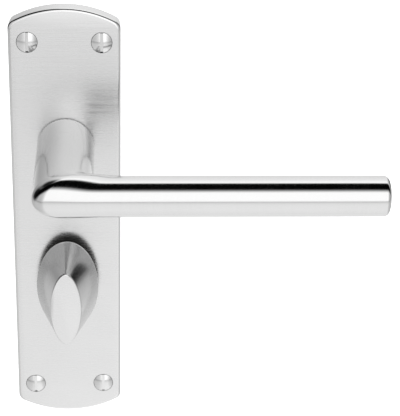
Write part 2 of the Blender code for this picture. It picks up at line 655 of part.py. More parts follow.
for i in range(1, 8):
    angle = math.radians(STOP_ANGLE) + math.pi * i / 8
    centre = math.radians(STOP_ANGLE)
    slot_outline.append((STOP_PIN_RADIUS * math.cos(centre) + slot_half * math.cos(angle),
                         -STOP_PIN_RADIUS * math.sin(centre) - slot_half * math.sin(angle)))
slot_outline += arc_points(STOP_PIN_RADIUS - slot_half, STOP_ANGLE, STOP_ANGLE - LEVER_TRAVEL, 12)
for i in range(1, 8):
    centre = math.radians(STOP_ANGLE - LEVER_TRAVEL)
    angle = centre + math.pi + math.pi * i / 8
    slot_outline.append((STOP_PIN_RADIUS * math.cos(centre) + slot_half * math.cos(angle),
                         -STOP_PIN_RADIUS * math.sin(centre) - slot_half * math.sin(angle)))
combine(cam, slab("cam_slot", slot_outline, CAM_BACK - 1 * MM, CAM_FRONT + 1 * MM, PLATED, lever_pivot))
SPRING_LEG = 1.6 * MM
cam_notch = block("cam_notch", (CAM_RADIUS - SPRING_LEG, -CAM_FRONT - 1 * MM, -notch_half),
                  (CAM_RADIUS + 1 * MM, -CAM_BACK + 1 * MM, notch_half), PLATED, lever_pivot)
combine(cam, aim(cam_notch, SPRING_CAM_ANGLE))

# The return spring: one leg sits in the cam's notch, the other in the cup's rim.
spring_curve = bpy.data.curves.new("return_spring", "CURVE")
spring_curve.dimensions = "3D"
spring_curve.bevel_depth = SPRING_WIRE / 2
spring_curve.bevel_resolution = 2
spring_curve.use_fill_caps = True
route = []
SPRING_STEPS = 42
for i in range(SPRING_STEPS + 1):
    share = i / SPRING_STEPS
    angle = math.radians(SPRING_CAM_ANGLE + 360.0 * SPRING_TURNS * share)
    out = spring_far - SPRING_PITCH * SPRING_TURNS * share
    route.append(Vector((SPRING_RADIUS * math.cos(angle), -out, -SPRING_RADIUS * math.sin(angle))))
first_angle = math.radians(SPRING_CAM_ANGLE)
last_angle = math.radians(SPRING_HOUSING_ANGLE)
inner_end = CAM_RADIUS - SPRING_LEG + GAP + 0.1 * MM
outer_end = HOUSING_RADIUS - 0.2 * MM
route.insert(0, Vector((inner_end * math.cos(first_angle), -spring_far, -inner_end * math.sin(first_angle))))
route.append(Vector((outer_end * math.cos(last_angle), -spring_near, -outer_end * math.sin(last_angle))))
spline = spring_curve.splines.new("POLY")
spline.points.add(len(route) - 1)
for point, place in zip(spline.points, route):
    point.co = (*place, 1.0)
spring_curve.materials.append(SPRING)
return_spring = bpy.data.objects.new("return_spring", spring_curve)
bpy.context.collection.objects.link(return_spring)

washer_inner = JOURNAL_RADIUS + GAP
washer_outer = washer_inner + CLIP_WIDTH
turned("thrust_washer", [(washer_inner, WASHER_BACK), (washer_outer, WASHER_BACK),
                         (washer_outer, WASHER_FRONT), (washer_inner, WASHER_FRONT)],
       PLATED, lever_pivot, tube=True)


def retaining_clip(name, inner, width, back, front, parent):
    """An open spring clip with two lugs, its mouth at the top."""
    mouth = 34.0
    start = -90.0 + mouth
    end = 270.0 - mouth
    outline = arc_points(inner, start, end, 28)
    lug = 12.0
    outer = inner + width
    outline += arc_points(outer, end, end - lug, 3)
    outline += arc_points(inner + width * 0.62, end - lug - 4, start + lug + 4, 24)
    outline += arc_points(outer, start + lug, start, 3)
    return slab(name, outline, back, front, SPRING, parent)


retaining_clip("lever_circlip", groove_radius + GAP, CLIP_WIDTH, CLIP_BACK, CLIP_FRONT, lever_pivot)


# -------------------------------------------------------------------- turn knob
def leaf_ring(share, out):
    """A knob section; share runs 0 at the oval back to 1 at the front leaf."""
    ring = []
    for i in range(AROUND):
        turn = 2 * math.pi * i / AROUND
        sine = math.sin(turn)
        cosine = math.cos(turn)
        leaf_x = TURN_LEAF_WIDTH / 2 * math.copysign(abs(cosine) ** TURN_LEAF_POINT, cosine)
        leaf_z = TURN_LEAF_HEIGHT / 2 * sine
        base_x = TURN_BASE_WIDTH / 2 * cosine
        base_z = TURN_BASE_HEIGHT / 2 * sine
        ring.append(Vector((base_x + (leaf_x - base_x) * share, -out, base_z + (leaf_z - base_z) * share)))
    return ring


rings = []
turn_groove = TURN_JOURNAL_RADIUS - TURN_CLIP_SEAT
for radius, out in ((TURN_JOURNAL_RADIUS, TURN_END),
                    (TURN_JOURNAL_RADIUS, TURN_CLIP_BACK - GAP),
                    (turn_groove, TURN_CLIP_BACK - GAP),
                    (turn_groove, TURN_CLIP_FRONT + GAP),
                    (TURN_JOURNAL_RADIUS, TURN_CLIP_FRONT + GAP),
                    (TURN_JOURNAL_RADIUS, neck_start),
                    (TURN_COLLAR_RADIUS, neck_start),
                    (TURN_COLLAR_RADIUS, TURN_BACK)):
    rings.append(circle(radius, out, AROUND))
rim_share = TURN_RIM_RADIUS / TURN_DEPTH
rings.append(circle(TURN_BASE_WIDTH / 2 - TURN_RIM_RADIUS, TURN_BACK, AROUND,
                    TURN_BASE_HEIGHT / 2 - TURN_RIM_RADIUS))
FLANK_STEPS = 6
for i in range(FLANK_STEPS + 1):
    share = rim_share + (1 - rim_share) * i / FLANK_STEPS
    rings.append(leaf_ring(share, TURN_BACK + TURN_DEPTH * share))
knob = finish("turn_knob", loft(rings), SATIN, turn_pivot, smooth=25.0)

combine(knob, block("turn_socket",
                    (-TURN_SOCKET_HALF, -TURN_SPINDLE_INSERT - 1 * MM, -TURN_SOCKET_HALF),
                    (TURN_SOCKET_HALF, -TURN_END + 1 * MM, TURN_SOCKET_HALF), SATIN, turn_pivot))
TURN_GRUB_OUT = FRONT + TURN_GAP / 2 + GAP
combine(knob, radial_bore("turn_grub_hole", TURN_GRUB_DIAMETER, -TURN_SOCKET_HALF + 1 * MM,
                          -TURN_COLLAR_RADIUS - 1 * MM, TURN_GRUB_OUT, turn_pivot))
radial_screw("turn_grub_screw", TURN_GRUB_DIAMETER, TURN_GRUB_LENGTH, TURN_GRUB_DIAMETER / 2,
             -TURN_SPINDLE_SIDE / 2 - GAP, TURN_GRUB_OUT, BLACKENED, turn_pivot)
block("turn_spindle",
      (-TURN_SPINDLE_SIDE / 2, -TURN_SPINDLE_INSERT, -TURN_SPINDLE_SIDE / 2),
      (TURN_SPINDLE_SIDE / 2, TURN_SPINDLE_LENGTH - TURN_SPINDLE_INSERT, TURN_SPINDLE_SIDE / 2),
      PLATED, turn_pivot, SPINDLE_CHAMFER * 0.7)

retaining_clip("turn_circlip", turn_groove + GAP, TURN_CLIP_WIDTH, TURN_CLIP_BACK, TURN_CLIP_FRONT, turn_pivot)

wave_rings = []
wave_inner = TURN_JOURNAL_RADIUS + GAP
for radius, out in ((wave_inner, TURN_WASHER_BACK), (wave_inner + TURN_WASHER_WIDTH, TURN_WASHER_BACK),
                    (wave_inner + TURN_WASHER_WIDTH, TURN_WASHER_FRONT), (wave_inner, TURN_WASHER_FRONT)):
    ring = circle(radius, out)
    for point in ring:
        point.y += TURN_WAVE * math.cos(3 * math.atan2(point.z, point.x))
    wave_rings.append(ring)
wave_washer = finish("turn_wave_washer", loft(wave_rings, closed=True), SPRING)
wave_washer.location.z = TURN_HEIGHT
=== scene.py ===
# %% [markdown]
# # A door lever handle with a thumb turn
# The set is a hollow backplate, a round lever that turns in a bearing, and a small leaf-shaped
# turn that works the bathroom bolt. The frame is the engineered model: its bodies carry the
# joints, so each finer piece made here is measured from it and rides on one of its bodies.

# %% Load the frame
import json
import math

import bmesh
import bpy
from mathutils import Matrix, Vector


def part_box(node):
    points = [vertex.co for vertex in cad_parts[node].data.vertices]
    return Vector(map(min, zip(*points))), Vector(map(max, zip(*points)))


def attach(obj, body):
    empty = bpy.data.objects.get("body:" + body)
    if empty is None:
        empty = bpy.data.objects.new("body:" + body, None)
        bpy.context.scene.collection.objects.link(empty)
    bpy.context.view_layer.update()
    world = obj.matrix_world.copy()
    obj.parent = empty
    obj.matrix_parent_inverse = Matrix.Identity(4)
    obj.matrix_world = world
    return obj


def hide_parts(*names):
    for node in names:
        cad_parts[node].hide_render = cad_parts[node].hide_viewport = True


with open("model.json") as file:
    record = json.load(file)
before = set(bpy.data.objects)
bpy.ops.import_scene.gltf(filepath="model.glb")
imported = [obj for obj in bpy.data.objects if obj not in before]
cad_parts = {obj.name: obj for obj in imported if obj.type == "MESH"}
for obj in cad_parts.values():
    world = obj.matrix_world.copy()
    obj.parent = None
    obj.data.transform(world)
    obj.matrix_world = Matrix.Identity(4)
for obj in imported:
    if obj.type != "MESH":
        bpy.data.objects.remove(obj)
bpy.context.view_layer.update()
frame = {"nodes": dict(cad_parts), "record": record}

nodes = frame["nodes"]
MM = 0.001

# %% [markdown]
# ## Sizes
# Most sizes are read from the frame's boxes. A distance "out" is in front of the door, which is
# minus Y. What a box can't give, such as a wall or a rounding, is named here in millimetres.

# %% Sizes from the frame
plate_low, plate_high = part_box("backplate")
lever_low, lever_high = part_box("lever_handle")
knob_low, knob_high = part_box("turn_knob")
spindle_low, spindle_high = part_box("lever_spindle")
turn_spindle_low, turn_spindle_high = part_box("turn_spindle")
mounts = {mount["name"]: Vector(mount["pos_m"]) for mount in frame["record"]["mounts"]}

GAP = 0.3 * MM
plate_width = plate_high.x - plate_low.x
plate_height = plate_high.z - plate_low.z
plate_middle = (plate_high.z + plate_low.z) / 2
front = -plate_low.y
PLATE_FACE = 2.0 * MM
PLATE_WALL = 2.5 * MM
skin_back = front - PLATE_FACE
turn_z = (knob_high.z + knob_low.z) / 2
neck_radius = lever_high.z
bar_out = -mounts["lever_end"].y
bar_reach = mounts["lever_end"].x
bar_radius = -lever_low.y - bar_out
print("plate", round(plate_width / MM, 2), "x", round(plate_height / MM, 2), "x", round(front / MM, 2), "mm")
print("neck", round(2 * neck_radius / MM, 2), "mm, bar", round(2 * bar_radius / MM, 2), "mm")

# %% [markdown]
# ## Colours and nodes
# A colour on a screen is an sRGB hex value, but a shader works with linear light, so one
# function turns one into the other. One more function adds a shader node with its settings and
# its links, so that each finish below reads as a short recipe.


# %% Colour and node helpers
def linear(hex_value):
    """An sRGB hex colour such as "c8c9c7" as linear RGBA."""
    parts = []
    for i in (0, 2, 4):
        share = int(hex_value[i:i + 2], 16) / 255
        parts.append(share / 12.92 if share <= 0.04045 else ((share + 0.055) / 1.055) ** 2.4)
    return (*parts, 1.0)


def add(tree, kind, settings=None, **inputs):
    """A node of that kind; inputs are values, or sockets to link from."""
    made = tree.nodes.new(kind)
    for name, value in (settings or {}).items():
        setattr(made, name, value)
    for name, value in inputs.items():
        socket = made.inputs[int(name[2:])] if name.startswith("at") else made.inputs[name.replace("_", " ")]
        if isinstance(value, bpy.types.NodeSocket):
            tree.links.new(value, socket)
        else:
            socket.default_value = value
    return made


def new_finish(name, metallic, roughness, colour):
    """An empty Principled finish, with its uniform values set on the shader."""
    made = bpy.data.materials.new(name)
    made.use_nodes = True
    shader = made.node_tree.nodes["Principled BSDF"]
    shader.inputs["Metallic"].default_value = metallic
    shader.inputs["Roughness"].default_value = roughness
    shader.inputs["Base Color"].default_value = linear(colour)
    made.diffuse_color = linear(colour)
    return made, made.node_tree, shader


# %% [markdown]
# ## Satin stainless steel
# The plate, the lever and the turn are 304 stainless steel, finished with a fine abrasive belt
# or pad. That leaves thin parallel scratches of about 0.05 mm, which the eye sees as a soft grey
# sheen: broad reflections, blurred a little more across the scratches than along them. A flat
# grey with a fixed roughness would look like paint, so noise that is stretched along the
# scratches moves the roughness, the colour and a very low bump together. The lines are drawn
# about 0.3 mm apart, which is coarser than the real ones, because finer ones wouldn't show.
# Rounded edges, which a hand or a wheel has rubbed, get a smoother and brighter finish.


# %% Brushed metal recipe
def brushed(name, colour, roughness, place, stretch, depth=0.004, swing=0.07, metallic=1.0):
    """Brushed metal; place is "Object" or "UV", stretch is lines for each millimetre per axis."""
    made, tree, shader = new_finish(name, metallic, roughness, colour)
    where = add(tree, "ShaderNodeTexCoord")
    unit = 1.0 if place == "UV" else 1 / MM
    scale = tuple(value * unit for value in stretch)
    lines_at = add(tree, "ShaderNodeMapping", Vector=where.outputs[place], Scale=scale)
    lines = add(tree, "ShaderNodeTexNoise", Vector=lines_at.outputs[0], Scale=1.0, Detail=4.0, Roughness=0.62)
    cloud_at = add(tree, "ShaderNodeMapping", Vector=where.outputs["Object"], Scale=(1 / MM,) * 3)
    cloud = add(tree, "ShaderNodeTexNoise", Vector=cloud_at.outputs[0], Scale=0.09, Detail=2.0)
    both = add(tree, "ShaderNodeMath", {"operation": "MULTIPLY_ADD"},
               at0=cloud.outputs["Fac"], at1=0.35, at2=lines.outputs["Fac"])
    rough = add(tree, "ShaderNodeMapRange", Value=both.outputs[0], From_Min=0.45, From_Max=0.95,
                To_Min=roughness - swing, To_Max=roughness + swing)
    tone = [channel * 0.9 for channel in linear(colour)[:3]]
    shade = add(tree, "ShaderNodeMix", {"data_type": "RGBA"})
    tree.links.new(lines.outputs["Fac"], shade.inputs["Factor"])
    shade.inputs[6].default_value = (*tone, 1.0)
    shade.inputs[7].default_value = linear(colour)
    bump = add(tree, "ShaderNodeBump", Strength=0.5, Distance=depth * MM, Height=lines.outputs["Fac"])
    tree.links.new(shade.outputs[2], shader.inputs["Base Color"])
    tree.links.new(rough.outputs[0], shader.inputs["Roughness"])
    tree.links.new(bump.outputs[0], shader.inputs["Normal"])
    return made


satin_plate = brushed("satin stainless steel, brushed across", "d7d7d7", 0.26, "Object", (0.04, 1.5, 3.2))
satin_round = brushed("satin stainless steel, brushed round", "cfcfcf", 0.13, "UV", (0.05, 3.0, 1.0),
                      swing=0.05)
rubbed_edge = brushed("stainless steel, rubbed edge", "d8d8d8", 0.14, "UV", (0.3, 2.0, 1.0), 0.002, 0.04)
satin_flank = brushed("satin stainless steel, linished flank", "d2d2d2", 0.2, "UV", (2.2, 0.05, 1.0), 0.008)
turned_steel = brushed("stainless screw, turned head", "d6d6d6", 0.16, "UV", (0.05, 5.0, 1.0))

# %% [markdown]
# ## Hidden metals and plastic
# Behind the plate nothing is polished. The spindles, the cup and the cam are mild steel with a
# bright zinc plating, which shows as a slightly blue grey with a cloudy sheen. The spring and
# the clips are hardened spring steel, dark with oil and brown at the bends. The grub screws are
# blackened by a hot oxide bath, and the bearings are natural nylon, milky and a little waxy.


# %% Zinc, spring steel, black oxide and nylon
def cloudy(name, colour, other, metallic, roughness, grain_mm, swing, pits=0.01):
    """A surface that varies in patches, from a bath, a furnace or a mould."""
    made, tree, shader = new_finish(name, metallic, roughness, colour)
    where = add(tree, "ShaderNodeTexCoord")
    at = add(tree, "ShaderNodeMapping", Vector=where.outputs["Object"], Scale=(1 / MM,) * 3)
    patches = add(tree, "ShaderNodeTexNoise", Vector=at.outputs[0], Scale=1 / grain_mm, Detail=5.0,
                  Roughness=0.6)
    fine = add(tree, "ShaderNodeTexNoise", Vector=at.outputs[0], Scale=7 / grain_mm, Detail=3.0)
    spread = add(tree, "ShaderNodeMapRange", Value=patches.outputs["Fac"], From_Min=0.3, From_Max=0.7)
    shade = add(tree, "ShaderNodeMix", {"data_type": "RGBA"})
    tree.links.new(spread.outputs[0], shade.inputs["Factor"])
    shade.inputs[6].default_value = linear(colour)
    shade.inputs[7].default_value = linear(other)
    rough = add(tree, "ShaderNodeMapRange", Value=patches.outputs["Fac"], From_Min=0.3, From_Max=0.7,
                To_Min=roughness - swing, To_Max=roughness + swing)
    bump = add(tree, "ShaderNodeBump", Strength=0.4, Distance=pits * MM, Height=fine.outputs["Fac"])
    tree.links.new(shade.outputs[2], shader.inputs["Base Color"])
    tree.links.new(rough.outputs[0], shader.inputs["Roughness"])
    tree.links.new(bump.outputs[0], shader.inputs["Normal"])
    return made, shader


zinc, _ = cloudy("zinc plated mild steel", "c3c7cc", "aab0b8", 1.0, 0.36, 3.0, 0.08, 0.02)
spring_steel, _ = cloudy("oiled spring steel", "8a8a8c", "6f6963", 1.0, 0.32, 2.0, 0.07)
# The turn's back gets a dark copy of the steel: its darkness is painted shade for the gap between the turn
# and the plate.
painted_shade_back, _ = cloudy("stainless steel, dark back with painted shade", "5a5957", "6b6967", 1.0, 0.5, 1.5, 0.08, 0.03)
black_oxide, _ = cloudy("black oxide steel", "2c2c2f", "3b3836", 1.0, 0.42, 1.2, 0.08)
nylon, nylon_shader = cloudy("natural nylon, moulded", "e8e5da", "dfdbcd", 0.0, 0.45, 2.5, 0.06)
nylon_shader.inputs["IOR"].default_value = 1.53
nylon_shader.inputs["Subsurface Weight"].default_value = 0.15
nylon_shader.inputs["Subsurface Scale"].default_value = 0.6 * MM
print("finishes", len(bpy.data.materials))

# %% [markdown]
# ## Turned and lofted shapes
# Everything here is either turned about a line or swept, so one helper skins a list of rings.
# It also writes a map of the surface in millimetres: the first number runs round the piece, the
# second along it. The brushed finishes follow that map, so the scratches run round the bar and
# along the flanks as a belt would leave them.


# %% Ring helpers
SHARP = 32.0                      # degrees between two faces above which an edge stays crisp
OVERCUT = 1 * MM                  # how far a cutting tool goes past the surface it cuts


def circle(radius, out, count=96):
    """A ring about the Y axis, at a distance in front of the door."""
    ring = []
    for i in range(count):
        angle = 2 * math.pi * i / count
        ring.append(Vector((radius * math.cos(angle), -out, radius * math.sin(angle))))
    return ring


def skin(name, rings, finish, sharp=SHARP, place=(0.0, 0.0, 0.0), others=()):
    """A closed piece skinned over rings of equal length, with a flat cap on the first and last.

    others holds (finish, first span, last span) where a stretch is finished another way, and
    the last cap counts as one more span.
    """
    bm = bmesh.new()
    chart = bm.loops.layers.uv.new("surface_mm")
    rows = [[bm.verts.new(point) for point in ring] for ring in rings]
    along = 0.0
    slots = {}
    for slot_number, (_, start, end) in enumerate(others):
        for span in range(start, end + 1):
            slots[span] = slot_number + 1
    for span in range(len(rows) - 1):
        near, next_ring = rings[span], rings[span + 1]
        count = len(near)
        step = sum((next_ring[i] - near[i]).length for i in range(count)) / count
        girth = sum((near[i] - near[i - 1]).length for i in range(count)) / count
        for i in range(count):
            j = (i + 1) % count
            face = bm.faces.new((rows[span][i], rows[span][j], rows[span + 1][j], rows[span + 1][i]))
            face.material_index = slots.get(span, 0)
            corners = ((i, along), (i + 1, along), (i + 1, along + step), (i, along + step))
            for loop, (turn, far) in zip(face.loops, corners):
                loop[chart].uv = (turn * girth / MM, far / MM)
        along += step
    for row in (rows[0], rows[-1]):
        face = bm.faces.new(row)
        face.material_index = slots.get(len(rows) - 1, 0) if row is rows[-1] else 0
        for loop in face.loops:
            loop[chart].uv = (loop.vert.co.x / MM, loop.vert.co.z / MM)
    bmesh.ops.recalc_face_normals(bm, faces=bm.faces)
    mesh = bpy.data.meshes.new(name)
    bm.to_mesh(mesh)
    bm.free()
    mesh.shade_smooth()
    mesh.set_sharp_from_angle(angle=math.radians(sharp))
    for look in [finish] + [other[0] for other in others]:
        mesh.materials.append(look)
    made = bpy.data.objects.new(name, mesh)
    made.location = place
    bpy.context.scene.collection.objects.link(made)
    return made


def prism(outline, back, front_face):
    """An outline of (x, z) points as two rings, from one distance out to another."""
    rings = []
    for out in (back, front_face):
        rings.append([Vector((x, -out, z)) for x, z in outline])
    return rings


def carve(piece, tools, body, sharp=SHARP):
    """Cut each tool out of the piece, or join it on, and let the plain result ride on the body."""
    for tool, operation in tools:
        step = piece.modifiers.new(tool.name, "BOOLEAN")
        step.operation = operation
        step.solver = "EXACT"
        step.object = tool
    bpy.context.view_layer.update()
    done = piece.evaluated_get(bpy.context.evaluated_depsgraph_get())
    mesh = bpy.data.meshes.new_from_object(done)
    piece.modifiers.clear()
    mesh.name = piece.name
    mesh.shade_smooth()
    mesh.set_sharp_from_angle(angle=math.radians(sharp))
    piece.data = mesh
    for tool, _ in tools:
        bpy.data.objects.remove(tool, do_unlink=True)
    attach(piece, body)
    print(piece.name, len(mesh.polygons), "faces")
    return piece


# %% [markdown]
# ## Backplate
# The real plate is pressed or cast with a flat face, side walls and a hollow back. Its ends are
# bowed and meet the straight sides in small round corners, and the front edge is rounded. The
# outline is made of arcs, set in evenly for each step of the rounding. Then
# the screw bosses are joined on and the holes are cut, as a drill and a countersink would.

# %% Backplate outline
END_RADIUS = 41.0 * MM
CORNER_RADIUS = 3.5 * MM
CORNER_SOFTENING = 0.8            # corners get rounder towards the front, by this share of the inset
EDGE_RADIUS = 1.1 * MM
BACK_CHAMFER = 0.25 * MM
CORNER_STEPS = 12
BOW_STEPS = 32


def plate_ring(inset, out):
    """The plate's outline, set in all round, at a distance in front of the door."""
    half_width = plate_width / 2 - inset
    half_height = plate_height / 2 - inset
    bow = END_RADIUS - inset
    corner = CORNER_RADIUS + inset * CORNER_SOFTENING
    bow_centre = half_height - bow
    corner_x = half_width - corner
    corner_z = bow_centre + math.sqrt((bow - corner) ** 2 - corner_x ** 2)
    lean = math.atan2(corner_z - bow_centre, corner_x)
    quarter = []
    for i in range(CORNER_STEPS + 1):
        angle = lean * i / CORNER_STEPS
        quarter.append((corner_x + corner * math.cos(angle), corner_z + corner * math.sin(angle)))
    for i in range(1, BOW_STEPS + 1):
        angle = lean + (math.pi / 2 - lean) * i / BOW_STEPS
        quarter.append((bow * math.cos(angle), bow_centre + bow * math.sin(angle)))
    top = quarter + [(-x, z) for x, z in quarter[-2::-1]]
    whole = top + [(-x, -z) for x, z in top]
    return [Vector((x, -out, z + plate_middle)) for x, z in whole]


rings = [plate_ring(PLATE_WALL, skin_back), plate_ring(PLATE_WALL, BACK_CHAMFER)]
rings += [plate_ring(PLATE_WALL - BACK_CHAMFER, 0.0), plate_ring(BACK_CHAMFER, 0.0)]
rings.append(plate_ring(0.0, BACK_CHAMFER))
EDGE_STEPS = 8
for i in range(EDGE_STEPS + 1):
    angle = math.pi / 2 * i / EDGE_STEPS
    rings.append(plate_ring(EDGE_RADIUS * (1 - math.cos(angle)), front - EDGE_RADIUS * (1 - math.sin(angle))))
edge_start = len(rings) - EDGE_STEPS - 1
plate = skin("satin_backplate", rings, satin_plate, others=[(rubbed_edge, edge_start - 1, len(rings) - 2)])

# %% Bosses, countersinks and bearing holes
SHANK_HOLE = 2.3 * MM
HEAD_CLEARANCE = 0.17 * MM        # a fine ring of shadow round the seated head
BOSS_RADIUS = 5.4 * MM
TAPPED_RADIUS = 1.8 * MM
BROKEN_EDGE = 0.06 * MM           # a drilled edge is always taken off a little
screw_names = ["screw_top_left", "screw_top_right", "screw_bottom_left", "screw_bottom_right"]
screw_places = {}
screw_low, screw_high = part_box("screw_top_left")
head_hole = (screw_high.x - screw_low.x) / 2
head_radius = head_hole - HEAD_CLEARANCE
for name in screw_names:
    low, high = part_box(name)
    screw_places[name] = ((low.x + high.x) / 2, 0.0, (low.z + high.z) / 2)

tools = []
for name, place in screw_places.items():
    boss = skin("boss", [circle(BOSS_RADIUS, out) for out in (0.0, skin_back + 0.5 * MM)],
                satin_plate, place=place)
    tools.append((boss, "UNION"))
for name, place in screw_places.items():
    cone = head_hole - SHANK_HOLE
    profile = [(SHANK_HOLE, -OVERCUT), (SHANK_HOLE, front - cone)]
    profile += [(head_hole - BROKEN_EDGE, front - BROKEN_EDGE)]
    profile += [(head_hole + BROKEN_EDGE, front + BROKEN_EDGE), (head_hole + BROKEN_EDGE, front + OVERCUT)]
    hole = skin("countersink", [circle(radius, out) for radius, out in profile], satin_plate, place=place)
    tools.append((hole, "DIFFERENCE"))
BUSH_WALL = 1.0 * MM
bush_heights = {"lever_bush": 0.0, "turn_bush": turn_z}
bush_outer = {"lever_bush": 8.65 * MM, "turn_bush": 6.5 * MM}
for name, height in bush_heights.items():
    radius = bush_outer[name] + GAP
    profile = [(radius, skin_back - OVERCUT), (radius, front - BROKEN_EDGE)]
    profile += [(radius + 2 * BROKEN_EDGE, front + BROKEN_EDGE), (radius + 2 * BROKEN_EDGE, front + OVERCUT)]
    bore = skin("bearing_hole", [circle(r, out) for r, out in profile], satin_plate, place=(0, 0, height))
    tools.append((bore, "DIFFERENCE"))
for name in ("cassette_screw_upper", "cassette_screw_lower"):
    low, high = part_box(name)
    deep = -low.y + GAP
    bore = skin("tapped_hole", [circle(TAPPED_RADIUS, out, 48) for out in (skin_back - OVERCUT, deep)],
                satin_plate, place=(0, 0, (low.z + high.z) / 2))
    tools.append((bore, "DIFFERENCE"))
carve(plate, tools, "plate")
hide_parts("backplate")

# %% [markdown]
# ## Fixing screws
# Four slotted wood screws with raised countersunk heads hold the plate. The head is a cone below
# the face and a low dome above it, with one straight slot sawn across. The thread is a wide
# spiral with a sharp crest, so the radius of each ring follows a helix.

# %% Screw with a sawn slot
head_raise = -screw_low.y - front
tip_out = -screw_high.y
SHANK = 2.0 * MM
CORE = 1.4 * MM
PITCH = 1.8 * MM
THREAD_LENGTH = 14.4 * MM
TIP_RADIUS = 0.12 * MM
TIP_LENGTH = 2.4 * MM
THREAD_START = 2.5 * MM
RUN_OUT = 0.7 * MM                # from the last of the thread to the full shank
CREST = 3.2                       # a higher number makes the crest of the thread narrower
RINGS_PER_TURN = 10
DOME_RINGS = 16
SCREW_SHARP = 28.0
SLOT_WIDTH = 1.1 * MM
SLOT_DEPTH = 1.3 * MM


def thread_ring(out, height, count):
    """A section of the thread: its crest stands at the angle that the helix has reached."""
    ring = []
    for i in range(count):
        turn = (i / count + out / PITCH) % 1.0
        radius = CORE + height * max(0.0, 1.0 - abs(turn - 0.5) * CREST)
        angle = 2 * math.pi * i / count
        ring.append(Vector((radius * math.cos(angle), -out, radius * math.sin(angle))))
    return ring


def screw_rings(count=48):
    """The screw from its tip to the middle of its head."""
    rings = [circle(TIP_RADIUS, tip_out, count), circle(CORE, tip_out + TIP_LENGTH, count)]
    steps = int(THREAD_LENGTH / PITCH * RINGS_PER_TURN)
    for i in range(steps + 1):
        fade = min(1.0, i / 12, (steps - i) / 8)
        out = tip_out + THREAD_START + THREAD_LENGTH * i / steps
        rings.append(thread_ring(out, (SHANK - CORE) * fade, count))
    rings.append(circle(SHANK, tip_out + THREAD_START + THREAD_LENGTH + RUN_OUT, count))
    cone = head_radius - SHANK
    rings += [circle(SHANK, front - cone, count), circle(head_radius - 0.1 * MM, front - 0.1 * MM, count)]
    dome = (head_radius ** 2 + head_raise ** 2) / (2 * head_raise)
    widest = math.asin(head_radius / dome)
    rings.append(circle(head_radius, front + 0.02 * MM, count))
    for i in range(1, DOME_RINGS):
        angle = widest * (1 - i / DOME_RINGS)
        rings.append(circle(dome * math.sin(angle), front + head_raise - dome * (1 - math.cos(angle)), count))
    return rings


for name, place in screw_places.items():
    screw = skin("slotted_" + name, screw_rings(), turned_steel, place=place, sharp=SCREW_SHARP)
    half = SLOT_WIDTH / 2
    deep = front + head_raise - SLOT_DEPTH
    outline = [(-half, -5 * MM), (half, -5 * MM), (half, 5 * MM), (-half, 5 * MM)]
    slot = skin("slot", prism(outline, deep, front + 3 * MM), turned_steel, place=place)
    carve(screw, [(slot, "DIFFERENCE")], "plate", SCREW_SHARP)
    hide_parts(name)

# %% [markdown]
# ## Lever
# The lever is one solid piece: a thick round neck that falls to the height of a slimmer round
# bar and turns into it through a tight elbow. The elbow isn't a pipe bend. Each side has an arc
# of its own, the sections are ovals between the two, and the top of the elbow stands a little
# fuller than the bar. Behind the plate the neck becomes a journal with a groove for the clip and
# two flats that drive the cam.

# %% Lever sections
INNER_BEND = 3.5 * MM
OUTER_BEND = 4.6 * MM
OUTER_LEAN = 1.0 * MM             # the neck's outer side leans in by this much at the elbow
SWELL_ABOVE = 0.9 * MM            # the elbow is this much taller than the bar on its upper side
SWELL_BELOW = 0.2 * MM
SWELL_LENGTH = 12.0 * MM
BAR_END_RADIUS = 1.6 * MM
NECK_EDGE = 0.3 * MM
AROUND = 128
CLIP_SEAT = 0.75 * MM
journal_radius = bush_outer["lever_bush"] - BUSH_WALL - GAP
clip_low, clip_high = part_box("lever_circlip")
outer_x = OUTER_LEAN - neck_radius


def oval_ring(inner, outer, tall, swell=0.0):
    """An oval section between two points; swell from 0 to 1 makes it fuller above and below."""
    above = tall + swell * SWELL_ABOVE
    below = tall + swell * SWELL_BELOW
    middle = (Vector(inner) + Vector(outer)) / 2
    half = (Vector(inner) - Vector(outer)) / 2
    ring = []
    for i in range(AROUND):
        turn = 2 * math.pi * i / AROUND
        height = math.sin(turn) * (above if math.sin(turn) > 0 else below)
        ring.append(middle + half * math.cos(turn) + Vector((0.0, 0.0, height)))
    return ring


def elbow_ring(share):
    """A section of the elbow; share runs from 0 at the neck to 1 at the bar."""
    angle = math.pi / 2 * share
    across = Vector((-math.cos(angle), -math.sin(angle), 0.0))
    inner = Vector((neck_radius + INNER_BEND, -bar_out + bar_radius + INNER_BEND, 0.0)) + across * INNER_BEND
    outer = Vector((outer_x + OUTER_BEND, -bar_out - bar_radius + OUTER_BEND, 0.0)) + across * OUTER_BEND
    return oval_ring(inner, outer, bar_radius, 1.0)


journal_end = -lever_high.y
groove = journal_radius - CLIP_SEAT
neck_start = front + GAP
rings = []
for radius, out in ((journal_radius - 0.3 * MM, journal_end), (journal_radius, journal_end + 0.3 * MM),
                    (journal_radius, -clip_high.y - GAP), (groove, -clip_high.y - GAP),
                    (groove, -clip_low.y + GAP), (journal_radius, -clip_low.y + GAP),
                    (journal_radius, neck_start), (neck_radius - NECK_EDGE, neck_start),
                    (neck_radius - NECK_EDGE * 0.3, neck_start + NECK_EDGE * 0.3),
                    (neck_radius, neck_start + NECK_EDGE)):
    rings.append(circle(radius, out, AROUND))
NECK_STEPS = 24
neck_base = neck_start + NECK_EDGE
inner_out = bar_out - bar_radius - INNER_BEND
outer_out = bar_out + bar_radius - OUTER_BEND
for i in range(1, NECK_STEPS):
    share = i / NECK_STEPS
    fall = share * share * (3 - 2 * share)
    inner = (neck_radius, -neck_base - (inner_out - neck_base) * share, 0.0)
    outer = (-neck_radius + OUTER_LEAN * share, -neck_base - (outer_out - neck_base) * share, 0.0)
    rings.append(oval_ring(inner, outer, neck_radius + (bar_radius - neck_radius) * fall, fall))
ELBOW_STEPS = 40
for i in range(ELBOW_STEPS + 1):
    rings.append(elbow_ring(i / ELBOW_STEPS))
inner_start = neck_radius + INNER_BEND
outer_start = outer_x + OUTER_BEND
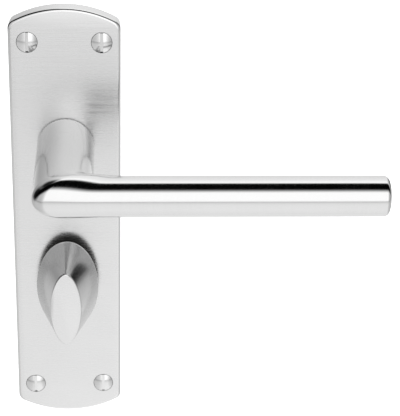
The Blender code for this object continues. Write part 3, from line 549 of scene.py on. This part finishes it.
straight_end = bar_reach - BAR_END_RADIUS
BAR_STEPS = 40
for i in range(1, BAR_STEPS):
    share = (i / BAR_STEPS) ** 2
    left = max(0.0, 1 - (straight_end - inner_start) * share / SWELL_LENGTH)
    inner = (inner_start + (straight_end - inner_start) * share, bar_radius - bar_out, 0.0)
    outer = (outer_start + (straight_end - outer_start) * share, -bar_radius - bar_out, 0.0)
    rings.append(oval_ring(inner, outer, bar_radius, left * left * (3 - 2 * left)))
BAR_END_STEPS = 8
for i in range(BAR_END_STEPS + 1):
    angle = math.pi / 2 * i / BAR_END_STEPS
    radius = bar_radius - BAR_END_RADIUS * (1 - math.cos(angle))
    reach = bar_reach - BAR_END_RADIUS * (1 - math.sin(angle))
    rings.append(oval_ring((reach, radius - bar_out, 0.0), (reach, -radius - bar_out, 0.0), radius))
lever = skin("satin_lever", rings, satin_round)

# %% Journal flats, square socket and grub screw hole
cam_low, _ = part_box("drive_cam")
JOURNAL_FLATS = 12.0 * MM
SOCKET_ROOM = 1 * MM              # a socket goes on this far past the end of its spindle
socket_half = spindle_high.x + GAP
tools = []
for sign in (1, -1):
    near = sign * JOURNAL_FLATS / 2
    far = sign * (JOURNAL_FLATS / 2 + 4 * MM)
    outline = [(-9 * MM, near), (9 * MM, near), (9 * MM, far), (-9 * MM, far)]
    tools.append((skin("flat", prism(outline, journal_end - OVERCUT, -cam_low.y + GAP / 2), satin_round),
                  "DIFFERENCE"))
outline = [(-socket_half, -socket_half), (socket_half, -socket_half), (socket_half, socket_half),
           (-socket_half, socket_half)]
socket = skin("socket", prism(outline, journal_end - OVERCUT, -spindle_low.y + SOCKET_ROOM), satin_round)
tools.append((socket, "DIFFERENCE"))
grub_low, grub_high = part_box("lever_grub_screw")
grub_middle = (grub_low.y + grub_high.y) / 2
grub_radius = (grub_high.x - grub_low.x) / 2


def upright_ring(radius, height, y, count=48):
    """A level ring about an upright line, for a screw that stands under the axis."""
    ring = []
    for i in range(count):
        angle = 2 * math.pi * i / count
        ring.append(Vector((radius * math.cos(angle), y + radius * math.sin(angle), height)))
    return ring


heights = (-neck_radius - OVERCUT, -socket_half + OVERCUT)
tools.append((skin("grub_hole", [upright_ring(grub_radius + GAP, z, grub_middle) for z in heights],
                   satin_round), "DIFFERENCE"))
carve(lever, tools, "lever")
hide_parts("lever_handle")

# %% [markdown]
# ## Thumb turn
# The turn is an oval block that tapers to a narrow leaf, ground in straight lines from one
# outline to the other, so its flanks are ruled surfaces. Straight rings between the two outlines
# give that exactly. The leaf's own face is brushed flat, and its edge stays crisp.

# %% Turn sections
RIM_RADIUS = 0.4 * MM
LEAF_EDGE = 0.25 * MM
TURN_GAP = 4.7 * MM
LEAF_WIDTH = 11.7 * MM
LEAF_HEIGHT = 29.6 * MM
LEAF_POINT = 1.15                 # 1 is a plain ellipse, more is more pointed
COLLAR_RADIUS = 7.5 * MM
TURN_CLIP_SEAT = 0.5 * MM
KNOB_AROUND = 160
KNOB_SHARP = 26.0
BACK_SPAN = 8                     # the span from the collar out to the rim is the turn's back
base_width = knob_high.x - knob_low.x
base_height = knob_high.z - knob_low.z
turn_back = front + TURN_GAP
turn_front = -knob_low.y
turn_journal = bush_outer["turn_bush"] - BUSH_WALL - GAP
turn_clip_low, turn_clip_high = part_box("turn_circlip")


def leaf_ring(share, out, inset=0.0):
    """A section of the turn; share runs from 0 at the oval back to 1 at the leaf."""
    ring = []
    for i in range(KNOB_AROUND):
        turn = 2 * math.pi * i / KNOB_AROUND
        cosine = math.cos(turn)
        leaf_x = (LEAF_WIDTH / 2) * math.copysign(abs(cosine) ** LEAF_POINT, cosine)
        leaf_z = (LEAF_HEIGHT / 2) * math.sin(turn)
        x = base_width / 2 * cosine * (1 - share) + leaf_x * share
        z = base_height / 2 * math.sin(turn) * (1 - share) + leaf_z * share
        inward = Vector((x, 0.0, z)).normalized() * inset
        ring.append(Vector((x, -out, z)) - inward)
    return ring


turn_end = -knob_high.y
turn_groove = turn_journal - TURN_CLIP_SEAT
rings = []
for radius, out in ((turn_journal - 0.2 * MM, turn_end), (turn_journal, turn_end + 0.2 * MM),
                    (turn_journal, -turn_clip_high.y - GAP), (turn_groove, -turn_clip_high.y - GAP),
                    (turn_groove, -turn_clip_low.y + GAP), (turn_journal, -turn_clip_low.y + GAP),
                    (turn_journal, neck_start), (COLLAR_RADIUS, neck_start), (COLLAR_RADIUS, turn_back)):
    rings.append(circle(radius, out, KNOB_AROUND))
depth = turn_front - turn_back
RIM_STEPS = 4
for i in range(RIM_STEPS + 1):
    angle = math.pi / 2 * i / RIM_STEPS
    out = turn_back + RIM_RADIUS * (1 - math.cos(angle))
    rings.append(leaf_ring(RIM_RADIUS / depth * math.sin(angle), out, RIM_RADIUS * (1 - math.sin(angle))))
FLANK_STEPS = 24
for i in range(1, FLANK_STEPS + 1):
    share = RIM_RADIUS / depth + (1 - (RIM_RADIUS + LEAF_EDGE) / depth) * i / FLANK_STEPS
    rings.append(leaf_ring(share, turn_back + depth * share))
rings.append(leaf_ring(1.0, turn_front - LEAF_EDGE * 0.3, LEAF_EDGE * 0.35))
rings.append(leaf_ring(1.0, turn_front, LEAF_EDGE))
# The span from the collar out to the rim takes the dark back, painted shade for the gap behind the turn.
knob = skin("leaf_turn", rings, satin_flank, place=(0, 0, turn_z), sharp=KNOB_SHARP,
            others=[(painted_shade_back, BACK_SPAN, BACK_SPAN), (satin_plate, len(rings) - 2, len(rings) - 1)])

turn_half = turn_spindle_high.x + GAP
outline = [(-turn_half, -turn_half), (turn_half, -turn_half), (turn_half, turn_half), (-turn_half, turn_half)]
socket = skin("turn_socket", prism(outline, turn_end - OVERCUT, -turn_spindle_low.y + SOCKET_ROOM),
              satin_flank, place=(0, 0, turn_z))
small_low, small_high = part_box("turn_grub_screw")
small_middle = (small_low.y + small_high.y) / 2
small_radius = (small_high.x - small_low.x) / 2
heights = (-COLLAR_RADIUS - OVERCUT, -turn_half + OVERCUT)
bore = skin("turn_grub_hole", [upright_ring(small_radius + GAP, z, small_middle) for z in heights],
            satin_flank, place=(0, 0, turn_z))
carve(knob, [(socket, "DIFFERENCE"), (bore, "DIFFERENCE")], "turn", KNOB_SHARP)
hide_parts("turn_knob")

# %% [markdown]
# ## Pieces that keep their engineered shape
# The spindles, the cassette and its parts already have their real form, so they only take a
# better finish here.

# %% Finishes for the carried pieces
carried = {
    zinc: ["lever_spindle", "turn_spindle", "cassette_housing", "cassette_cover", "drive_cam", "stop_pin",
           "thrust_washer", "cassette_screw_upper", "cassette_screw_lower"],
    spring_steel: ["return_spring", "lever_circlip", "turn_circlip", "turn_wave_washer"],
    black_oxide: ["lever_grub_screw", "turn_grub_screw"],
    nylon: ["lever_bush", "turn_bush"],
}
for finish, names in carried.items():
    for name in names:
        nodes[name].material_slots[0].material = finish
print("pieces with a better finish", sum(len(names) for names in carried.values()))

# %% [markdown]
# ## Studio
# Polished metal shows the room more than itself, so the room is the lighting. A wide white
# screen stands in front, a dark gap hangs overhead and a paler panel stands behind it, all long
# from side to side and dimmer towards their ends, sooner on the left. The panels below the
# horizon keep more of their light there. That gives the bar its one crisp black line
# between two bright ones. Small black flags put dark marks on the elbow and the turn. Below
# is a plain white floor that glows like a light table, which keeps the ground clean. What the
# camera sees directly stays plain and pale.

# %% World of long soft panels
def grey_ramp(tree, level_at, stops):
    """A colour ramp of greys, from (position from 0 to 1, level) pairs."""
    made = add(tree, "ShaderNodeValToRGB", Fac=level_at)
    elements = made.color_ramp.elements
    while len(elements) < len(stops):
        elements.new(0.5)
    for element, (position, _) in zip(elements, stops):
        element.position = position
    for element, (_, level) in zip(elements, stops):
        element.color = (level, level, level, 1.0)
    return made


world = bpy.data.worlds.new("studio")
bpy.context.scene.world = world
world.use_nodes = True
sky = world.node_tree
sky.nodes.clear()
direction = add(sky, "ShaderNodeTexCoord")
parts = add(sky, "ShaderNodeSeparateXYZ", Vector=direction.outputs["Generated"])
ahead = add(sky, "ShaderNodeMath", {"operation": "MULTIPLY"}, at0=parts.outputs["Y"], at1=-1.0)
height = add(sky, "ShaderNodeMath", {"operation": "ARCTAN2"}, at0=parts.outputs["Z"], at1=ahead.outputs[0])
turned = add(sky, "ShaderNodeMath", {"operation": "MULTIPLY_ADD"}, at0=height.outputs[0],
             at1=1 / (2 * math.pi), at2=0.5)
PANEL_LIGHT = 1.8
panels = [(-180, 0.5), (-165, 0.58), (-60, 0.73), (-31, 0.71), (-20, 0.67), (-10, 0.46), (-6, 0.92),
          (41, 0.92), (52, 0.3), (60, 0.0), (95, 0.0), (103, 0.96), (120, 0.76), (158, 0.62), (180, 0.48)]
ramp = grey_ramp(sky, turned.outputs[0], [(0.5 + degrees / 360, level) for degrees, level in panels])
across = add(sky, "ShaderNodeMath", {"operation": "MULTIPLY_ADD"}, at0=parts.outputs["X"], at1=0.5, at2=0.5)
side_levels = [(-1, 0.42), (-0.8, 0.48), (-0.6, 0.48), (-0.36, 0.6), (-0.25, 0.74), (-0.06, 0.97), (0, 1.0),
               (0.38, 1.0), (0.5, 0.7), (0.66, 0.45), (1, 0.42)]
sides = grey_ramp(sky, across.outputs[0], [(0.5 + x / 2, level) for x, level in side_levels])
low = add(sky, "ShaderNodeMapRange", Value=parts.outputs["Z"], From_Min=-0.03, From_Max=-0.3, To_Max=0.38)
evened = add(sky, "ShaderNodeMix", {"data_type": "RGBA"})
sky.links.new(low.outputs[0], evened.inputs["Factor"])
sky.links.new(sides.outputs["Color"], evened.inputs[6])
evened.inputs[7].default_value = (1.0, 1.0, 1.0, 1.0)
room = add(sky, "ShaderNodeVectorMath", {"operation": "MULTIPLY"},
           at0=ramp.outputs["Color"], at1=evened.outputs[2])
FLAG_LEVEL = 0.02
# Black flags: (towards, degrees at full black, degrees where it ends)
flags = [((-0.9, 0.1, 0.38), 18, 37), ((-0.42, 0.3, 0.86), 10, 22), ((0.73, 0.67, 0.12), 8, 18)]
for towards, inside, outside in flags:
    nearness = add(sky, "ShaderNodeVectorMath", {"operation": "DOT_PRODUCT"},
                   at0=direction.outputs["Generated"], at1=Vector(towards).normalized())
    flag = add(sky, "ShaderNodeMapRange", Value=nearness.outputs["Value"], To_Min=1.0, To_Max=FLAG_LEVEL,
               From_Min=math.cos(math.radians(outside)), From_Max=math.cos(math.radians(inside)))
    room = add(sky, "ShaderNodeVectorMath", {"operation": "SCALE"}, at0=room.outputs[0],
               Scale=flag.outputs[0])
lit = add(sky, "ShaderNodeBackground", Color=room.outputs[0], Strength=PANEL_LIGHT)
plain = add(sky, "ShaderNodeBackground", Color=(1.0, 1.0, 1.0, 1.0), Strength=1.05)
path = add(sky, "ShaderNodeLightPath")
choice = add(sky, "ShaderNodeMixShader",
             at0=path.outputs["Is Camera Ray"], at1=lit.outputs[0], at2=plain.outputs[0])
add(sky, "ShaderNodeOutputWorld", Surface=choice.outputs[0])

print("panels", len(panels), "side levels", len(side_levels), "flags", len(flags))

# %% White floor
FLOOR_DROP = 0.45                 # metres under the plate, out of its shadow's reach
FLOOR_SIZE = 12.0
floor_mesh = bpy.data.meshes.new("floor")
half = FLOOR_SIZE / 2
floor_z = plate_low.z - FLOOR_DROP
corners = [(-half, -half, floor_z), (half, -half, floor_z), (half, half, floor_z), (-half, half, floor_z)]
floor_mesh.from_pydata(corners, [], [(0, 1, 2, 3)])
floor = bpy.data.objects.new("floor", floor_mesh)
bpy.context.scene.collection.objects.link(floor)
paper, paper_tree, paper_shader = new_finish("white light table", 0.0, 0.9, "f4f4f4")
paper_shader.inputs["Emission Color"].default_value = linear("ffffff")
paper_shader.inputs["Emission Strength"].default_value = 0.95
floor_mesh.materials.append(paper)
floor.visible_glossy = False

# %% [markdown]
# ## Camera
# The camera stands in front of the door, a little above the lever and to its side, and looks
# down at about 21 degrees with a long lens, so the plate hardly tapers.

# %% Camera
CAMERA_PLACE = Vector((16.9, -467.7, 155.2)) * MM
YAW = math.radians(4.42)
PITCH = math.radians(21.49)
ROLL = math.radians(1.49)
LENS = 108.19
forward = Vector((math.sin(YAW) * math.cos(PITCH), math.cos(YAW) * math.cos(PITCH), -math.sin(PITCH)))
right = forward.cross(Vector((0, 0, 1))).normalized()
up = right.cross(forward)
side = right * math.cos(ROLL) + up * math.sin(ROLL)
top = up * math.cos(ROLL) - right * math.sin(ROLL)
camera = bpy.data.objects.new("camera", bpy.data.cameras.new("camera"))
camera.data.lens = LENS
camera.data.sensor_width = 36.0
camera.data.clip_start = 0.01
turned_to = Matrix((side, top, -forward)).transposed().to_4x4()
camera.matrix_world = Matrix.Translation(CAMERA_PLACE) @ turned_to
bpy.context.scene.collection.objects.link(camera)
bpy.context.scene.camera = camera
bpy.context.scene.view_settings.view_transform = "Standard"
